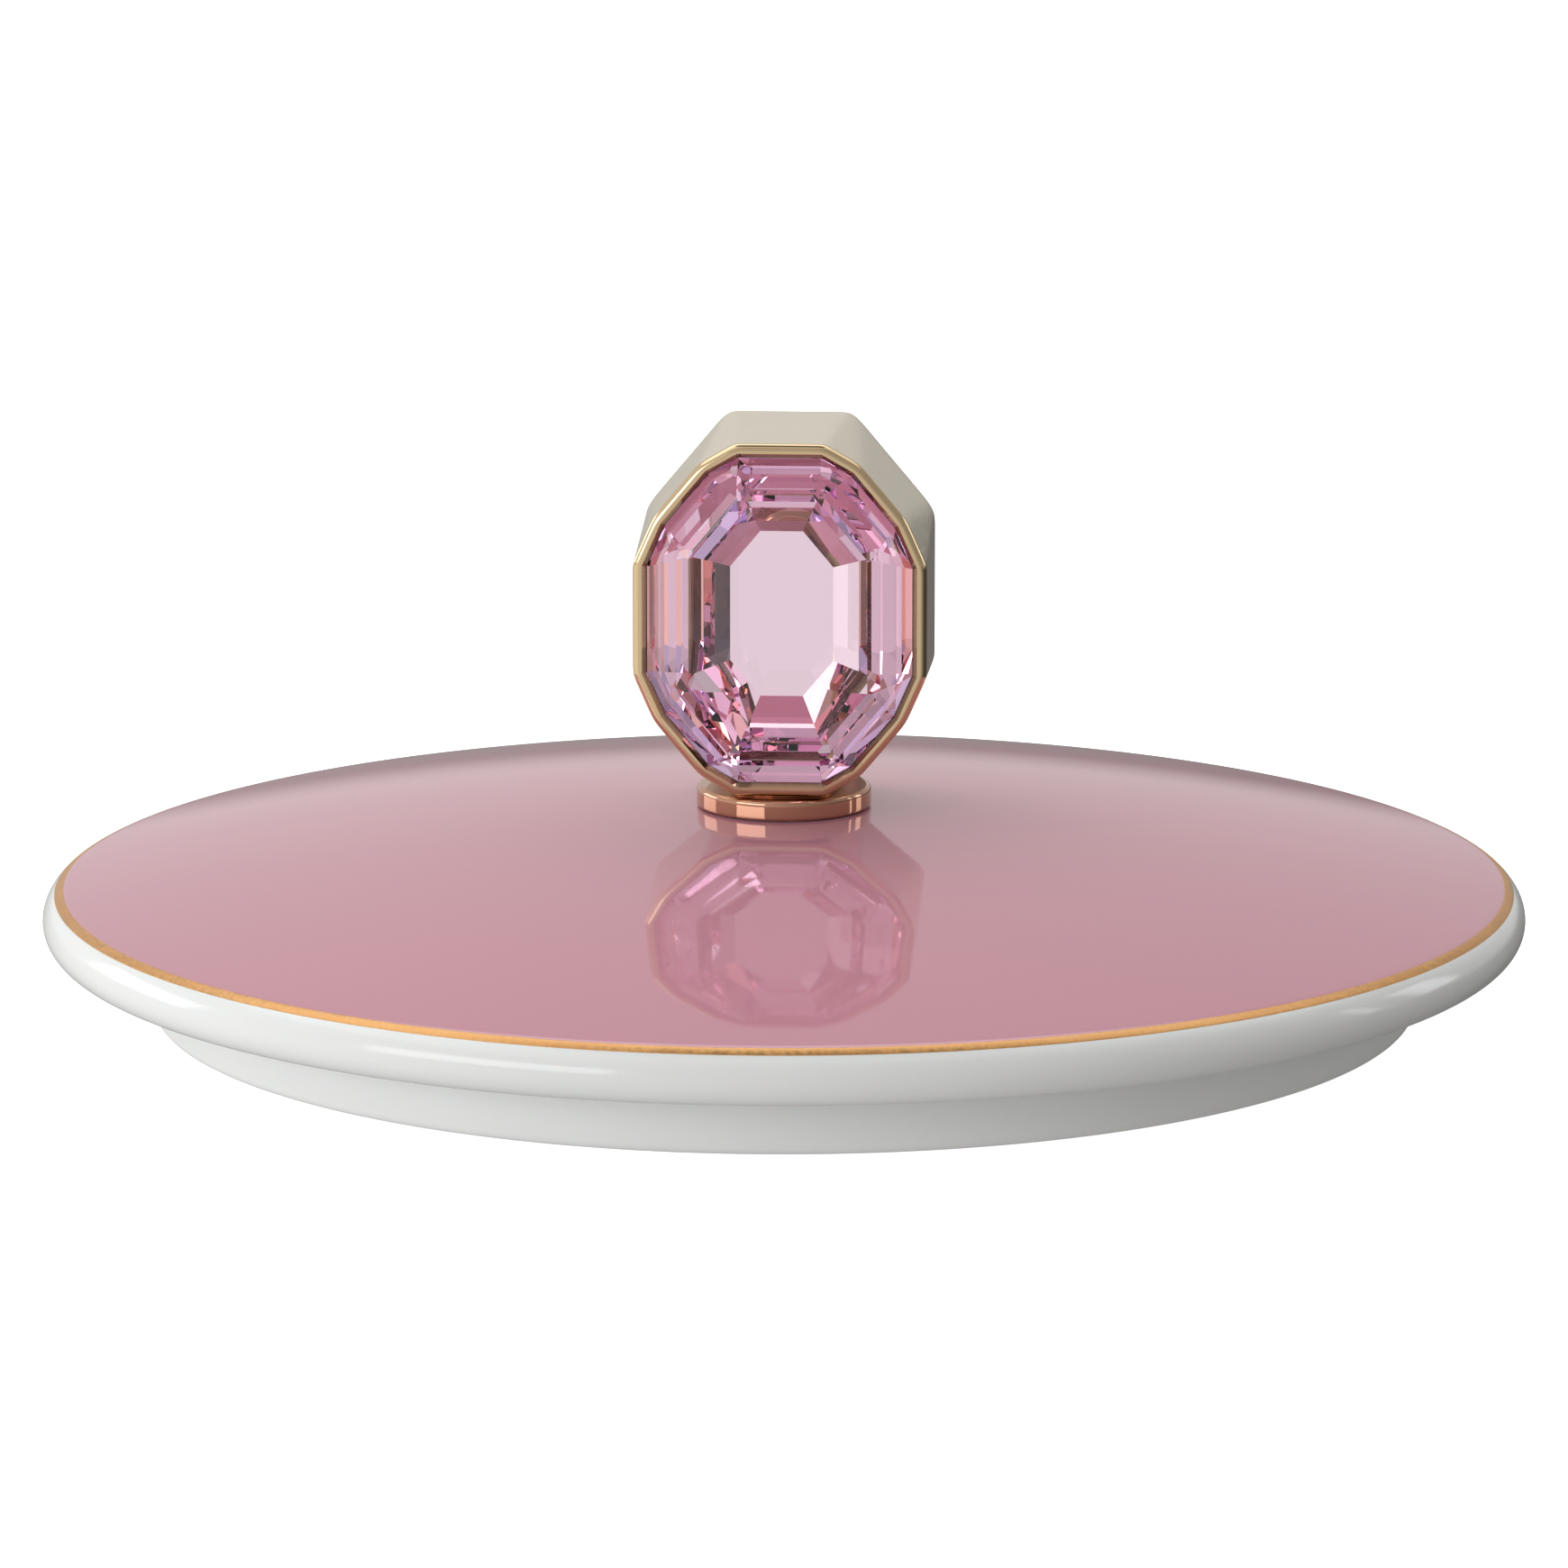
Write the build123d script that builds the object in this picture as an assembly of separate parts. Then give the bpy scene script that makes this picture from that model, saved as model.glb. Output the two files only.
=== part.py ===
from build123d import *
import math
import os

# A round porcelain lid for a powder jar: a domed pink-glazed top with a gold line
# round it, a locating spigot underneath, and a bolted-on knob that holds a large
# step-cut stone. +Z is up, the stone faces -Y, and the origin is the centre of the
# spigot's foot. All lengths are millimetres.

# Porcelain disc
LID_RADIUS = 50.0
RIM_HEIGHT = 6.5            # height of the widest point
BULLNOSE_RADIUS = 2.2       # upper half of the rim
RIM_UNDER_RADIUS = 1.75     # lower half of the rim
DOME_RADIUS = 226.0         # sphere of the top face
PLATE_THICKNESS = 4.1

# Spigot that drops into the jar's mouth
SPIGOT_RADIUS = 42.7
SPIGOT_WALL = 4.0
SPIGOT_EDGE = 0.8           # rounding of the foot, inside and outside
SPIGOT_ROOT = 0.4           # fillet where the spigot meets the rim's underside
HOLLOW_FILLET = 1.5         # inside corner between spigot and plate

# Fired-on colours
GLAZE_THICKNESS = 0.2
GOLD_LINE_INNER = 48.57
GOLD_LINE_OUTER = 49.19
GOLD_THICKNESS = 0.06
GOLD_PROUD = 0.02

# Clamping hardware on the lid's axis
STUD_RADIUS = 2.0
STUD_HOLE_RADIUS = 2.3
SEAT_RADIUS = 5.5           # flat ground through the glaze for the gasket
GASKET_RADIUS = 5.4
GASKET_THICKNESS = 0.3
LOWER_SEAT_RADIUS = 6.6
LOWER_SEAT_CUT = 0.04       # ground off the ceiling to make the lower seat flat
SOFT_WASHER_RADIUS = 6.3
SOFT_WASHER_THICKNESS = 0.8
WASHER_RADIUS = 5.6
WASHER_THICKNESS = 0.8
WASHER_CLEARANCE = 0.15     # round the stud
NUT_ACROSS_FLATS = 7.0
NUT_HEIGHT = 2.4
NUT_CHAMFER_HEIGHT = 0.25
NUT_CHAMFER_WIDTH = 0.45
STUD_TAIL = 0.5             # stud end below the nut
STUD_CHAMFER = 0.35

# Collar under the knob
COLLAR_RADIUS = 5.89
COLLAR_BOTTOM = 13.88
COLLAR_HEIGHT = 1.38
COLLAR_TOP_EDGE = 0.35
COLLAR_BOTTOM_EDGE = 0.15
LAND_RADIUS = 3.6           # raised land that leaves a shadow gap round the casing
SHADOW_GAP = 0.22

# Knob casing: a barrel lying along Y, eight-sided at the back. Its corner facets taper,
# so that the front is sixteen-sided, like the stone.
CASING_DEPTH = 13.6
CASING_FRONT = -5.5
CASING_WALL = 0.97          # main facets of the casing outside the stone's outline
CASING_HALF_HEIGHT = 11.95
CORNER_WALL_FRONT = 0.95    # corner facets outside the stone's outline, at the front
CORNER_WALL_BACK = 1.45     # and at the back
CASING_FRONT_LIP = 0.45
CASING_BACK_EDGE = 0.6
CASING_BACK_WALL = 1.2
MOUTH_BEVEL = 0.2
LEDGE_INSET = 0.42          # how far the ledge behind the stone stands in
LEDGE_SETBACK = 0.85        # ledge behind the girdle, which leaves room for the cement
BOSS_RADIUS = 2.6
BOSS_HEIGHT = 0.9           # above the cavity's floor

# Stone: facets as (direction in degrees from +X, distance from centre, spread of the steps)
MAIN_FACETS = ((0.0, 8.86, 1.0), (39.9, 9.96, 0.86), (90.0, 11.0, 0.88))
CORNER_FACETS = ((23.7, 9.56, 0.77), (60.1, 10.91, 0.76))
SETBACK = 0.35              # girdle behind the lip's crest
GIRDLE_THICKNESS = 0.5
CROWN_STEPS = ((0.0, 0.0), (1.0, 1.05), (2.05, 1.65), (2.9, 2.0))      # (inset, height)
PAVILION_STEPS = ((0.0, 0.0), (1.7, 1.85), (3.45, 3.4), (5.1, 4.5))    # (inset, depth)
STONE_CLEARANCE = 0.05
FOIL_THICKNESS = 0.08
SLOPE_ALLOWANCE = 1.4       # sideways growth of a sloping facet for each unit of thickness

# Room for cutting tools
BLANK = 40.0                # larger than any part of the knob
OVERSHOOT = 1.0             # how far a cutter runs past the face that it enters

# Derived heights and places
UNDERSIDE = RIM_HEIGHT - RIM_UNDER_RADIUS
BULLNOSE_CENTRE = LID_RADIUS - BULLNOSE_RADIUS
DOME_CENTRE = RIM_HEIGHT - math.sqrt((DOME_RADIUS - BULLNOSE_RADIUS) ** 2 - BULLNOSE_CENTRE ** 2)
DOME_TOP = DOME_CENTRE + DOME_RADIUS
DOME_EDGE_ANGLE = math.degrees(math.acos(BULLNOSE_CENTRE / (DOME_RADIUS - BULLNOSE_RADIUS)))
UPPER_SEAT = COLLAR_BOTTOM - GASKET_THICKNESS
LOWER_SEAT = DOME_TOP - PLATE_THICKNESS + LOWER_SEAT_CUT
SOFT_WASHER_BOTTOM = LOWER_SEAT - SOFT_WASHER_THICKNESS
WASHER_BOTTOM = SOFT_WASHER_BOTTOM - WASHER_THICKNESS
NUT_BOTTOM = WASHER_BOTTOM - NUT_HEIGHT
COLLAR_TOP = COLLAR_BOTTOM + COLLAR_HEIGHT
CASING_BOTTOM = COLLAR_TOP + SHADOW_GAP
KNOB_CENTRE = CASING_BOTTOM + CASING_HALF_HEIGHT
CASING_BACK = CASING_FRONT + CASING_DEPTH
GIRDLE_FRONT = CASING_FRONT + SETBACK
GIRDLE_BACK = GIRDLE_FRONT + GIRDLE_THICKNESS
LEDGE_FRONT = GIRDLE_BACK + LEDGE_SETBACK
CAVITY_FLOOR = KNOB_CENTRE - MAIN_FACETS[-1][1] + LEDGE_INSET
BOSS_TOP = CAVITY_FLOOR + BOSS_HEIGHT


def polar(centre_r, centre_z, radius, angle):
    """Point on a circle in the (radius, height) plane; the angle is from +radius, in degrees."""
    turn = math.radians(angle)
    return (centre_r + radius * math.cos(turn), centre_z + radius * math.sin(turn))


def arc(centre_r, centre_z, radius, start, end):
    """Arc in the (radius, height) plane between two angles."""
    points = [polar(centre_r, centre_z, radius, a) for a in (start, (start + end) / 2, end)]
    return ThreePointArc(*points)


def turned(edges):
    """Solid of revolution about Z of a closed outline in the (radius, height) plane."""
    outline = Plane.XZ * make_face(edges)
    return revolve(outline, Axis.Z, 360)


def disc(radius, bottom, height):
    """Upright cylinder on the lid's axis."""
    return Pos(0, 0, bottom) * Cylinder(radius, height, align=(Align.CENTER, Align.CENTER, Align.MIN))


def lid_blank():
    """The whole disc and spigot as one filled shape, before any colour or hollow."""
    edges = [
        Line((0, 0), (SPIGOT_RADIUS - SPIGOT_EDGE, 0)),
        arc(SPIGOT_RADIUS - SPIGOT_EDGE, SPIGOT_EDGE, SPIGOT_EDGE, -90, 0),
        Line((SPIGOT_RADIUS, SPIGOT_EDGE), (SPIGOT_RADIUS, UNDERSIDE - SPIGOT_ROOT)),
        arc(SPIGOT_RADIUS + SPIGOT_ROOT, UNDERSIDE - SPIGOT_ROOT, SPIGOT_ROOT, 180, 90),
        Line((SPIGOT_RADIUS + SPIGOT_ROOT, UNDERSIDE), (LID_RADIUS - RIM_UNDER_RADIUS, UNDERSIDE)),
        arc(LID_RADIUS - RIM_UNDER_RADIUS, RIM_HEIGHT, RIM_UNDER_RADIUS, -90, 0),
        arc(BULLNOSE_CENTRE, RIM_HEIGHT, BULLNOSE_RADIUS, 0, DOME_EDGE_ANGLE),
        arc(0, DOME_CENTRE, DOME_RADIUS, DOME_EDGE_ANGLE, 90),
        Line((0, DOME_TOP), (0, 0)),
    ]
    return turned(edges)


def lid_hollow():
    """Room inside the spigot, up to a plate of even thickness."""
    inner = SPIGOT_RADIUS - SPIGOT_WALL
    ceiling = DOME_RADIUS - PLATE_THICKNESS
    edge_angle = math.degrees(math.acos(inner / ceiling))
    corner = polar(0, DOME_CENTRE, ceiling, edge_angle)
    edges = [
        Line((0, -OVERSHOOT), (inner + SPIGOT_EDGE, -OVERSHOOT)),
        Line((inner + SPIGOT_EDGE, -OVERSHOOT), (inner + SPIGOT_EDGE, 0)),
        arc(inner + SPIGOT_EDGE, SPIGOT_EDGE, SPIGOT_EDGE, -90, -180),
        Line((inner, SPIGOT_EDGE), corner),
        arc(0, DOME_CENTRE, ceiling, edge_angle, 90),
        Line((0, DOME_CENTRE + ceiling), (0, -OVERSHOOT)),
    ]
    hollow = turned(edges)
    circles = hollow.edges().filter_by(GeomType.CIRCLE)
    ceiling_rim = circles.sort_by(lambda edge: abs(edge.center().Z - corner[1]))[0]
    return fillet(ceiling_rim, HOLLOW_FILLET)


def pink_glaze_field():
    """Glaze over the dome, from the collar's seat out to the gold line."""
    end = math.degrees(math.acos((GOLD_LINE_INNER - BULLNOSE_CENTRE) / BULLNOSE_RADIUS))
    rim_in = BULLNOSE_RADIUS - GLAZE_THICKNESS
    dome_in = DOME_RADIUS - GLAZE_THICKNESS
    edges = [
        arc(0, DOME_CENTRE, DOME_RADIUS, 90, DOME_EDGE_ANGLE),
        arc(BULLNOSE_CENTRE, RIM_HEIGHT, BULLNOSE_RADIUS, DOME_EDGE_ANGLE, end),
        Line(polar(BULLNOSE_CENTRE, RIM_HEIGHT, BULLNOSE_RADIUS, end),
             polar(BULLNOSE_CENTRE, RIM_HEIGHT, rim_in, end)),
        arc(BULLNOSE_CENTRE, RIM_HEIGHT, rim_in, end, DOME_EDGE_ANGLE),
        arc(0, DOME_CENTRE, dome_in, DOME_EDGE_ANGLE, 90),
        Line((0, DOME_CENTRE + dome_in), (0, DOME_TOP)),
    ]
    return turned(edges) - disc(SEAT_RADIUS, DOME_TOP - OVERSHOOT, 2 * OVERSHOOT)


def gold_line():
    """Thin gold ring fired onto the shoulder of the rim, a hair proud of it."""
    start = math.degrees(math.acos((GOLD_LINE_INNER - BULLNOSE_CENTRE) / BULLNOSE_RADIUS))
    end = math.degrees(math.acos((GOLD_LINE_OUTER - BULLNOSE_CENTRE) / BULLNOSE_RADIUS))
    outside = BULLNOSE_RADIUS + GOLD_PROUD
    inside = BULLNOSE_RADIUS - GOLD_THICKNESS

    def across(angle):
        return Line(polar(BULLNOSE_CENTRE, RIM_HEIGHT, outside, angle),
                    polar(BULLNOSE_CENTRE, RIM_HEIGHT, inside, angle))

    edges = [
        arc(BULLNOSE_CENTRE, RIM_HEIGHT, outside, start, end),
        across(end),
        arc(BULLNOSE_CENTRE, RIM_HEIGHT, inside, end, start),
        across(start),
    ]
    return turned(edges)


def porcelain_lid():
    """One fired piece: dome, bullnose rim, spigot ring, stud hole and the two ground seats."""
    body = lid_blank() - lid_hollow() - pink_glaze_field() - gold_line()
    body -= disc(STUD_HOLE_RADIUS, 0, DOME_TOP + OVERSHOOT)
    body -= disc(SEAT_RADIUS, UPPER_SEAT, OVERSHOOT)
    body -= disc(LOWER_SEAT_RADIUS, LOWER_SEAT - OVERSHOOT, OVERSHOOT)
    return body


def ring(outer, inner, bottom, height):
    """Flat washer on the lid's axis."""
    return disc(outer, bottom, height) - disc(inner, bottom - OVERSHOOT, height + 2 * OVERSHOOT)


def collar_gasket():
    """Clear soft disc between the porcelain and the collar."""
    return ring(GASKET_RADIUS, STUD_HOLE_RADIUS, UPPER_SEAT, GASKET_THICKNESS)


def knob_collar():
    """Round foot of the knob, with softened edges and a small raised land on top."""
    body = disc(COLLAR_RADIUS, COLLAR_BOTTOM, COLLAR_HEIGHT)
    body = fillet(body.edges().sort_by(Axis.Z)[-1], COLLAR_TOP_EDGE)
    body = fillet(body.edges().sort_by(Axis.Z)[0], COLLAR_BOTTOM_EDGE)
    body += disc(LAND_RADIUS, COLLAR_BOTTOM, COLLAR_HEIGHT + SHADOW_GAP)
    return body - disc(STUD_RADIUS, COLLAR_BOTTOM - OVERSHOOT, COLLAR_HEIGHT + 2 * OVERSHOOT)


def soft_washer():
    """Soft washer that protects the porcelain from the clamping load."""
    return ring(SOFT_WASHER_RADIUS, STUD_HOLE_RADIUS, SOFT_WASHER_BOTTOM, SOFT_WASHER_THICKNESS)


def metal_washer():
    """Metal washer that spreads the nut's load."""
    return ring(WASHER_RADIUS, STUD_RADIUS + WASHER_CLEARANCE, WASHER_BOTTOM, WASHER_THICKNESS)


def clamping_nut():
    """Hexagon nut with its outer corners turned off."""
    corner_radius = NUT_ACROSS_FLATS / math.sqrt(3)
    hexagon = extrude(Pos(0, 0, NUT_BOTTOM) * RegularPolygon(corner_radius, 6), NUT_HEIGHT)
    turned_blank = disc(corner_radius, NUT_BOTTOM, NUT_HEIGHT)
    rims = turned_blank.edges().filter_by(GeomType.CIRCLE)
    turned_blank = chamfer(rims, NUT_CHAMFER_HEIGHT, NUT_CHAMFER_WIDTH)
    return (hexagon & turned_blank) - disc(STUD_RADIUS, NUT_BOTTOM - OVERSHOOT, NUT_HEIGHT + 2 * OVERSHOOT)


def knob_stud():
    """Stud on the lid's axis, from the casing's boss down through the nut."""
    bottom = NUT_BOTTOM - STUD_TAIL
    rod = disc(STUD_RADIUS, bottom, BOSS_TOP - bottom)
    return chamfer(rod.edges().sort_by(Axis.Z)[0], STUD_CHAMFER)


def along_y(section, front, back):
    """Prism of an XZ outline, centred on the knob, from one Y to another."""
    plane = Plane(origin=(0, front, KNOB_CENTRE), x_dir=(1, 0, 0), z_dir=(0, 1, 0))
    return extrude(plane * section, back - front, dir=(0, 1, 0))


def mirrored_facets(facets):
    """Every facet of a group, repeated in all four quadrants: direction, distance, spread."""
    full = set()
    for angle, distance, spread in facets:
        for turn in (angle, 180 - angle, 180 + angle, 360 - angle):
            full.add((round(turn % 360, 3), distance, spread))
    return sorted(full)


def ground(body, direction, first, second):
    """Grind one flat facet square to a direction in XZ, and keep what lies inside it.

    The facet holds two lines, each given as (distance from the knob's axis, y)."""
    turn = math.radians(direction)
    outward = Vector(math.cos(turn), 0, math.sin(turn))
    rise = second[1] - first[1]
    run = first[0] - second[0]
    normal = (outward * rise + Vector(0, 1, 0) * run) * math.copysign(1, rise)
    origin = outward * first[0] + Vector(0, first[1], KNOB_CENTRE)
    return split(body, bisect_by=Plane(origin=origin, z_dir=normal), keep=Keep.BOTTOM)


def stepped(body, steps, start, toward, grow=0.0):
    """Cut every step on every facet. Steps are (inset, depth) pairs from the start plane."""
    for direction, distance, spread in mirrored_facets(MAIN_FACETS + CORNER_FACETS):
        reach = distance + grow
        lines = [(reach - inset * spread, start + toward * depth) for inset, depth in steps]
        for first, second in zip(lines, lines[1:]):
            body = ground(body, direction, first, second)
    return body


def outline(grow):
    """Sixteen-sided outline of the stone, moved out by the given amount."""
    inside = Rectangle(BLANK, BLANK)
    beyond = Rectangle(BLANK, 2 * BLANK, align=(Align.MIN, Align.CENTER))
    for direction, distance, _ in mirrored_facets(MAIN_FACETS + CORNER_FACETS):
        inside -= Rot(0, 0, direction) * (Pos(distance + grow, 0) * beyond)
    return inside


def pavilion_blank(grow):
    """Back half of the stone, from the girdle's back to the flat culet, grown outwards."""
    depth = PAVILION_STEPS[-1][1] + grow
    blank = along_y(outline(min(grow, STONE_CLEARANCE)), GIRDLE_BACK, GIRDLE_BACK + depth)
    return stepped(blank, PAVILION_STEPS, GIRDLE_BACK, 1, grow * SLOPE_ALLOWANCE)


def crystal():
    """Step-cut stone: crown with a proud table, narrow girdle and stepped pavilion."""
    table = GIRDLE_FRONT - CROWN_STEPS[-1][1]
    front = along_y(outline(0), table, GIRDLE_BACK)
    return stepped(front, CROWN_STEPS, GIRDLE_FRONT, -1) + pavilion_blank(0)


def foil_backing():
    """Thin mirror cup that follows the stone's back facets."""
    return pavilion_blank(FOIL_THICKNESS) - pavilion_blank(0)


def setting_cement():
    """Clear cement in the wedge between the stone's back edge and the casing's ledge."""
    ring_blank = along_y(outline(STONE_CLEARANCE), GIRDLE_BACK, LEDGE_FRONT)
    return ring_blank - pavilion_blank(FOIL_THICKNESS)


def mouth_bevel():
    """Cutter for the bright bevel that leads from the lip's crest in to the stone."""
    def section(grow, y):
        plane = Plane(origin=(0, y, KNOB_CENTRE), x_dir=(1, 0, 0), z_dir=(0, 1, 0))
        return plane * outline(STONE_CLEARANCE + grow)

    crest = section(MOUTH_BEVEL, CASING_FRONT)
    foot = section(0, CASING_FRONT + MOUTH_BEVEL)
    return loft([crest, foot], ruled=True)


def barrel():
    """Filled barrel: straight main facets, and corner facets that taper towards the front."""
    body = along_y(Rectangle(BLANK, 2 * CASING_HALF_HEIGHT), CASING_FRONT, CASING_BACK)
    for direction, distance, _ in mirrored_facets(MAIN_FACETS[:-1]):
        reach = distance + CASING_WALL
        body = ground(body, direction, (reach, CASING_FRONT), (reach, CASING_BACK))
    for direction, distance, _ in mirrored_facets(CORNER_FACETS):
        front = (distance + CORNER_WALL_FRONT, CASING_FRONT)
        back = (distance + CORNER_WALL_BACK, CASING_BACK)
        body = ground(body, direction, front, back)
    return body


def knob_casing():
    """Cast barrel, open at the front for the stone, with a softened lip and a closed back."""
    body = barrel()
    body = chamfer(body.edges().group_by(Axis.Y)[0], CASING_FRONT_LIP)
    body = chamfer(body.edges().group_by(Axis.Y)[-1], CASING_BACK_EDGE)
    body -= along_y(outline(STONE_CLEARANCE), CASING_FRONT - OVERSHOOT, LEDGE_FRONT)
    body -= along_y(outline(-LEDGE_INSET), LEDGE_FRONT, CASING_BACK - CASING_BACK_WALL)
    body -= mouth_bevel()
    boss_start = (CASING_BOTTOM + CAVITY_FLOOR) / 2
    body += disc(BOSS_RADIUS, boss_start, BOSS_TOP - boss_start)
    return body - disc(STUD_RADIUS, CASING_BOTTOM - OVERSHOOT, BOSS_TOP - CASING_BOTTOM + 2 * OVERSHOOT)


PIECES = (
    porcelain_lid, pink_glaze_field, gold_line, collar_gasket, knob_collar, knob_casing,
    crystal, foil_backing, setting_cement, knob_stud, soft_washer, metal_washer, clamping_nut,
)

os.makedirs("parts", exist_ok=True)
for piece in PIECES:
    export_step(piece(), f"parts/{piece.__name__}.step")
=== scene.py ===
import math

import bpy
import numpy as np
from bpy.props import FloatProperty, FloatVectorProperty, IntProperty, PointerProperty
from bpy.types import Operator, Panel, PropertyGroup
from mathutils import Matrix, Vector


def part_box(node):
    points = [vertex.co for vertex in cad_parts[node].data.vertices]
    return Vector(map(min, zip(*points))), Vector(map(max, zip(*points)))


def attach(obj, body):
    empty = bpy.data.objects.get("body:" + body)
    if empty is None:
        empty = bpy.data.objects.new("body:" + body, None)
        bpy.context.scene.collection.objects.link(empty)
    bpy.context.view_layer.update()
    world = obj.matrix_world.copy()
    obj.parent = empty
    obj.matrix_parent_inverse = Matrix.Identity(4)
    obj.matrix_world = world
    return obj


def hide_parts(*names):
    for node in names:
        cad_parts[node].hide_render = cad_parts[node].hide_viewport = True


bl_info = {
    "name": "Jewelled Porcelain Lid",
    "version": (1, 0, 0),
    "blender": (4, 5, 0),
    "location": "3D View > Sidebar > Lid",
    "description": "Makes a pink-glazed porcelain jar lid with a gold knob and a step-cut stone",
    "category": "Mesh",
}

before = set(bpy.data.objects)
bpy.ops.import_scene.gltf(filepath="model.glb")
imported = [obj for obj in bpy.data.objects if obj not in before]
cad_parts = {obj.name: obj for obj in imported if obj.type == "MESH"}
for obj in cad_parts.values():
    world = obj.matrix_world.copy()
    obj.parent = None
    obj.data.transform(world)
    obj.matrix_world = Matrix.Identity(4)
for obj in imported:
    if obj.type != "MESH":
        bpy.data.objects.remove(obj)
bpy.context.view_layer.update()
BODY = "root"


# ---------------------------------------------------------------------------
# Sizes and colours
# ---------------------------------------------------------------------------

def length_prop(name, description, default):
    """A length in metres, shown in the scene's own units."""
    return FloatProperty(name=name, description=description, default=default, unit="LENGTH",
                         min=0.0, precision=5)


def lengths_prop(name, description, default):
    """Three lengths in metres, one for each step of the stone's cut."""
    return FloatVectorProperty(name=name, description=description, default=default, unit="LENGTH",
                               size=3, precision=5)


def colour_prop(name, description, default):
    """A linear RGB colour."""
    return FloatVectorProperty(name=name, description=description, default=default, subtype="COLOR",
                               size=3, min=0.0, max=1.0)


class PorcelainSizes(PropertyGroup):
    """The disc, its rim and its spigot."""
    lid_radius: length_prop("Lid radius", "Radius at the rim's widest point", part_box("porcelain_lid")[1].x)
    rim_height: length_prop("Rim height", "Height of the rim's widest point", 0.0065)
    bullnose: length_prop("Bullnose", "Radius of the rim's upper half", 0.0022)
    rim_under: length_prop("Rim under", "Radius of the rim's lower half", 0.00175)
    dome_radius: length_prop("Dome radius", "Radius of the sphere that the top belongs to", 0.226)
    plate: length_prop("Plate", "Thickness of the porcelain under the dome", 0.0041)
    glaze: length_prop("Glaze", "Thickness of the pink glaze", 0.0002)
    spigot_radius: length_prop("Spigot radius", "Outside of the ring that enters the jar", 0.0427)
    spigot_wall: length_prop("Spigot wall", "Thickness of that ring", 0.004)
    spigot_edge: length_prop("Spigot edge", "Rounding of the ring's foot", 0.0008)
    spigot_root: length_prop("Spigot root", "Fillet between the ring and the rim", 0.0004)
    hollow_fillet: length_prop("Hollow fillet", "Fillet inside the ring, under the plate", 0.0015)
    upper_seat: length_prop("Upper seat", "Radius of the flat ground for the knob", 0.0055)
    lower_seat: length_prop("Lower seat", "Radius of the flat ground for the washers", 0.0066)
    stud_hole: length_prop("Stud hole", "Radius of the hole through the plate", 0.0023)
    gold_inner: length_prop("Gold inner", "Inner radius of the gold line", 0.04857)
    gold_outer: length_prop("Gold outer", "Outer radius of the gold line", 0.04919)
    gold_depth: length_prop("Gold depth", "How far the gold line is let into the rim", 0.00006)
    gold_proud: length_prop("Gold proud", "How far the gold line stands out of the rim", 0.00002)
    segments: IntProperty(name="Segments", description="Steps round the lid", default=288, min=48)


class KnobSizes(PropertyGroup):
    """The collar and the casing."""
    collar_edge: length_prop("Collar edge", "Rounding of the collar's top edge", 0.00035)
    collar_foot: length_prop("Collar foot", "Rounding of the collar's bottom edge", 0.00015)
    collar_land: length_prop("Collar land", "Radius of the raised land that carries the casing", 0.0036)
    shadow_gap: length_prop("Shadow gap", "Height of that land", 0.00022)
    bore: length_prop("Bore", "Radius of the hole for the stud", 0.002)
    wall: length_prop("Wall", "Main facets of the casing outside the stone", 0.00097)
    corner_wall_front: length_prop("Corner wall, front", "Corner facets outside the stone, in front", 0.00095)
    corner_wall_back: length_prop("Corner wall, back", "Corner facets outside the stone, behind", 0.00145)
    softness: FloatProperty(name="Corner softness", description="Higher makes the casing's corners crisper",
                            default=140.0, min=20.0)
    front_lip: length_prop("Front lip", "Rounding of the front edge", 0.00045)
    back_edge: length_prop("Back edge", "Rounding of the back edge", 0.0006)
    back_wall: length_prop("Back wall", "Thickness of the back", 0.0012)
    mouth_bevel: length_prop("Mouth bevel", "Bevel that leads in to the stone", 0.00028)
    ledge_depth: length_prop("Ledge depth", "Distance from the lip's crest to the ledge", 0.0017)
    ledge_inset: length_prop("Ledge inset", "How far the ledge stands in under the stone", 0.00042)
    stone_gap: length_prop("Stone gap", "Clearance round the stone", 0.00005)


class StoneSizes(PropertyGroup):
    """The cut of the stone."""
    setback: length_prop("Setback", "Girdle behind the lip's crest", 0.00035)
    girdle: length_prop("Girdle", "Thickness of the girdle", 0.0005)
    crown_insets: lengths_prop("Crown insets", "Width of each crown step, from the edge",
                               (0.0010, 0.00205, 0.0029))
    crown_heights: lengths_prop("Crown heights", "Height of each crown step", (0.00105, 0.00165, 0.0020))
    pavilion_insets: lengths_prop("Pavilion insets", "Width of each back step", (0.0017, 0.00345, 0.0051))
    pavilion_depths: lengths_prop("Pavilion depths", "Depth of each back step", (0.00185, 0.0034, 0.0045))


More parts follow.
